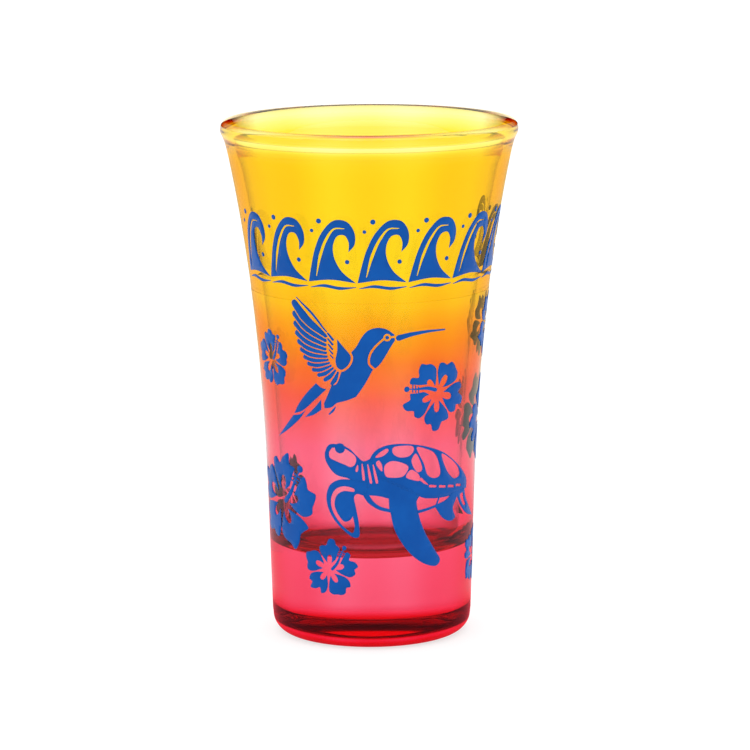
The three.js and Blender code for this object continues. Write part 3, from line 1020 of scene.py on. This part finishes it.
# The throat's outline at a petal: degrees from the petal's middle, and shares of the throat's depth.
THROAT = [(-13, 0.8), (-5, 1.0), (5, 1.0), (13, 0.8)]
THROAT_WAIST = 0.15


def polar(degrees, radius):
    angle = math.radians(degrees)
    return Vector((radius * math.sin(angle), radius * math.cos(angle)))


def stamen(size, way):
    """The stamen with its fine hairs and round tip, set off from the petals by a bare line."""
    bends = [(48, 0.12), (14, 0.36), (0, 0.66), (-3, 0.88)]
    column = smooth_run([polar(way + bend, reach * size) for bend, reach in bends])
    drawing = [
        (BARE, stroke(column, 0.22 * size, 0.2 * size, 0.26 * size)),
        (INK, stroke(column, 0.11 * size, 0.1 * size, 0.06 * size, 0.03 * size)),
    ]
    for reach in (0.62, 0.71, 0.8):
        hair = line(polar(way - 8, (reach - 0.03) * size), polar(way + 6, (reach + 0.03) * size))
        drawing.append((INK, stroke(hair, 0.035 * size, 0.035 * size)))
    drawing.append((INK, disc(polar(way - 4, 0.96 * size), 0.08 * size)))
    return drawing


def hibiscus(size, turn, chance):
    """A flower of five frilled petals with an open throat, and the stamen between two of them."""
    drawing = []
    throat = []
    for index in range(PETALS):
        middle = turn + PETAL_ANGLE * index
        frill = [chance.uniform(*FRILL) for _ in PETAL]
        points = [polar(middle + angle, reach * size * f) for (angle, reach), f in zip(PETAL, frill)]
        drawing.append((INK, loop(*points)))
        depth = chance.uniform(*THROAT_DEPTH) * size
        throat += [polar(middle + angle, depth * reach) for angle, reach in THROAT]
        throat.append(polar(middle + PETAL_ANGLE / 2, THROAT_WAIST * size))
    drawing.append((BARE, loop(*throat)))
    return drawing + stamen(size, turn + PETAL_ANGLE / 2)


# ---- Waves ----


def wave():
    """A breaking wave with a stencil line along its back, spray off its crest and a ripple under it."""
    body = loop(
        (-3.9, 0.0), (-3.9, 0.0), (-3.3, 2.6), (-2.5, 5.4), (-1.1, 8.2), (1.0, 10.1), (3.0, 9.9),
        (4.1, 8.2), (4.0, 6.2), (3.0, 5.0), (3.0, 5.0), (3.1, 6.6), (2.5, 7.7), (1.4, 7.6), (0.6, 6.2),
        (0.6, 4.2), (1.7, 1.9), (3.9, 0.0), (3.9, 0.0), (0.0, 0.45),
    )
    back_line = line((-2.5, 1.0), (-1.7, 4.2), (-0.5, 7.0), (0.9, 8.7), (2.5, 8.8))
    ripple = line((-3.6, -0.9), (-1.4, -0.55), (1.4, -0.9), (3.9, -0.7))
    return [
        (INK, body),
        (BARE, stroke(back_line, 0.12, 0.5, 0.42, 0.12)),
        (INK, stroke(ripple, 0.1, 0.5, 0.5, 0.1)),
        (INK, disc((-1.6, 9.9), 0.42)),
        (INK, disc((-2.9, 8.3), 0.3)),
        (INK, disc((2.7, 3.4), 0.36)),
    ]


# ---- Ink on the wall ----

FILL_STEP = 0.8
INK_SUNK = 0.01
INK_PROUD = 0.05
LAYER_STEP = 0.0015
SAME_POINT = 1e-4


def inside(points, outline):
    """Which of the points lie inside a closed outline."""
    x, y = points[:, :1], points[:, 1:]
    x1, y1 = outline.T
    x2, y2 = np.roll(outline, -1, axis=0).T
    crossed = (y1 > y) != (y2 > y)
    where = x1 + (y - y1) * (x2 - x1) / np.where(y2 == y1, 1.0, y2 - y1)
    return (crossed & (x < where)).sum(axis=1) % 2 == 1


def inked(points, drawing):
    """Which of the points the drawing leaves inked."""
    result = np.zeros(len(points), bool)
    for ink, outline in drawing:
        result[inside(points, outline)] = ink
    return result


def fill_points(drawing):
    """A grid of points inside the ink, so that its flats follow the round wall. A point too close to
    an outline's corner is left out."""
    corners = np.concatenate([outline for _, outline in drawing])
    low, high = corners.min(axis=0), corners.max(axis=0)
    columns, rows = np.ceil((high - low) / FILL_STEP).astype(int) + 1
    grid = np.array([low + FILL_STEP * np.array((i, j)) for i in range(columns) for j in range(rows)])
    near = np.array([np.abs(corners - point).max(axis=1).min() for point in grid]) < FILL_STEP / 4
    return grid[inked(grid, drawing) & ~near]


def flat_triangles(drawing):
    """The inked area of a drawing as points and triangles."""
    points, edges = [], []
    for _, outline in drawing:
        first = len(points)
        points += [Vector(point) for point in outline]
        edges += [(first + i, first + (i + 1) % len(outline)) for i in range(len(outline))]
    points += [Vector(point) for point in fill_points(drawing)]
    points, _, faces, *_ = delaunay_2d_cdt(points, edges, [], 0, SAME_POINT)
    points = np.array([tuple(point) for point in points])
    faces = np.array(faces)
    x, y = points[faces].transpose(2, 0, 1)
    area = (x[:, 1] - x[:, 0]) * (y[:, 2] - y[:, 0]) - (x[:, 2] - x[:, 0]) * (y[:, 1] - y[:, 0])
    wound_backwards = area < 0
    faces[wound_backwards] = faces[wound_backwards][:, ::-1]
    return points, faces[inked(points[faces].mean(axis=1), drawing)]


def wall_point(flat, place, stand_off):
    """The vertex, in metres, that stands off from the wall at a flat point of a motif."""
    azimuth, height = place
    level = height + flat[1]
    radius = float(wall_radius(level))
    angle = azimuth + flat[0] / radius
    skin = (PINK_OFFSET if level < PINK_TOP else YELLOW_OFFSET) + FILM
    radius += skin + stand_off
    return (radius * math.sin(angle) * MM, -radius * math.cos(angle) * MM, level * MM)


def make_print(name, drawing, place, materials, layer=0):
    """One motif as a thin closed solid of ink that grips the outermost coat. Where two pieces lap,
    the one of the higher layer covers the other."""
    drawing = [(ink, np.array([tuple(point) for point in outline])) for ink, outline in drawing]
    points, triangles = flat_triangles(drawing)
    used = np.unique(triangles)
    index_of = {int(old): new for new, old in enumerate(used)}
    lift = layer * LAYER_STEP
    tops = [wall_point(points[i], place, INK_PROUD + lift) for i in used]
    bottoms = [wall_point(points[i], place, -INK_SUNK + lift) for i in used]
    count = len(used)
    top_faces = [tuple(index_of[int(i)] for i in triangle) for triangle in triangles]
    bottom_faces = [tuple(count + i for i in reversed(face)) for face in top_faces]
    directed = {(face[i - 1], face[i]) for face in top_faces for i in range(3)}
    border = sorted((a, b) for a, b in directed if (b, a) not in directed)
    sides = [(b, a, count + a, count + b) for a, b in border]
    faces = top_faces + sides + bottom_faces
    indices = [0] * len(top_faces + sides) + [1] * len(bottom_faces)
    smooth = [len(face) == 3 for face in faces]
    verts = tops + bottoms
    make_piece(f"ink_{name}", f"print_{name}", verts, faces, indices, smooth, materials)


def place_by_corner(node, corner):
    """A motif's place, from where its node has the leftmost corner of the flat outline."""
    ends = [v.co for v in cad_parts[node].data.vertices]
    end = min(ends, key=lambda v: math.atan2(v.x, -v.y))
    level = end.z / MM
    return math.atan2(end.x, -end.y) - corner[0] / float(wall_radius(level)), level - corner[1]


def flower_place(node):
    """A flower's place and size, from its node: the top petal stands straight up."""
    low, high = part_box(node)
    verts = [v.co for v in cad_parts[node].data.vertices]
    azimuth = math.atan2(sum(v.x for v in verts), -sum(v.y for v in verts))
    size = (high[2] - low[2]) / MM / (1 + math.cos(math.pi / PETALS))
    return (azimuth, high[2] / MM - size), size


# The leftmost corner of each CAD outline, on the drawing that the outline belongs to.
WAVE_CORNER = (-3.7, 0.0)
BILL_CORNER = (4.8, 4.9)
SHELL_CORNER = (-6.3, 2.2)

# How far each flower is turned, in degrees, in the order of their nodes.
FLOWER_TURNS = [-110, 0, 8, 4, 30, -20, 12, 40]


def make_waves(materials):
    for node in sorted(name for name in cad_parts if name.startswith("print_wave")):
        name = node.removeprefix("print_")
        make_print(name, wave(), place_by_corner(node, WAVE_CORNER), materials)


def make_bird(materials):
    place = place_by_corner("print_bird_bill", BILL_CORNER)
    drawings = {"body": bird_body(), "bill": bird_bill(), "wing": bird_wing(), "tail": bird_tail()}
    for part, drawing in drawings.items():
        make_print(f"bird_{part}", drawing, place, materials)


def make_turtle(materials):
    """Its pieces lap, so each lies one layer above the one before."""
    place = place_by_corner("print_turtle_shell", SHELL_CORNER)
    drawings = {
        "head": turtle_head(),
        "shell": turtle_shell(),
        "front_flipper": turtle_front_flipper(),
        "side_flipper": turtle_side_flipper(),
        "rear_flippers": turtle_rear_flippers(),
    }
    for layer, (part, drawing) in enumerate(drawings.items()):
        make_print(f"turtle_{part}", drawing, place, materials, layer)


def make_flowers(materials):
    """Each flower has its own unevenness, which is the same in every run."""
    for number, turn in enumerate(FLOWER_TURNS, 1):
        name = f"hibiscus_{number}"
        place, size = flower_place(f"print_{name}")
        make_print(name, hibiscus(size, turn, random.Random(number)), place, materials)


def make_prints():
    materials = [ink_material("blue_ink", INK_GLOSS), ink_material("blue_ink_underside", 0.0)]
    make_waves(materials)
    make_bird(materials)
    make_turtle(materials)
    make_flowers(materials)


make_camera()
make_floor()
make_world()
set_render_look()
make_glass()
make_yellow_coat()
make_pink_coats()
make_prints()
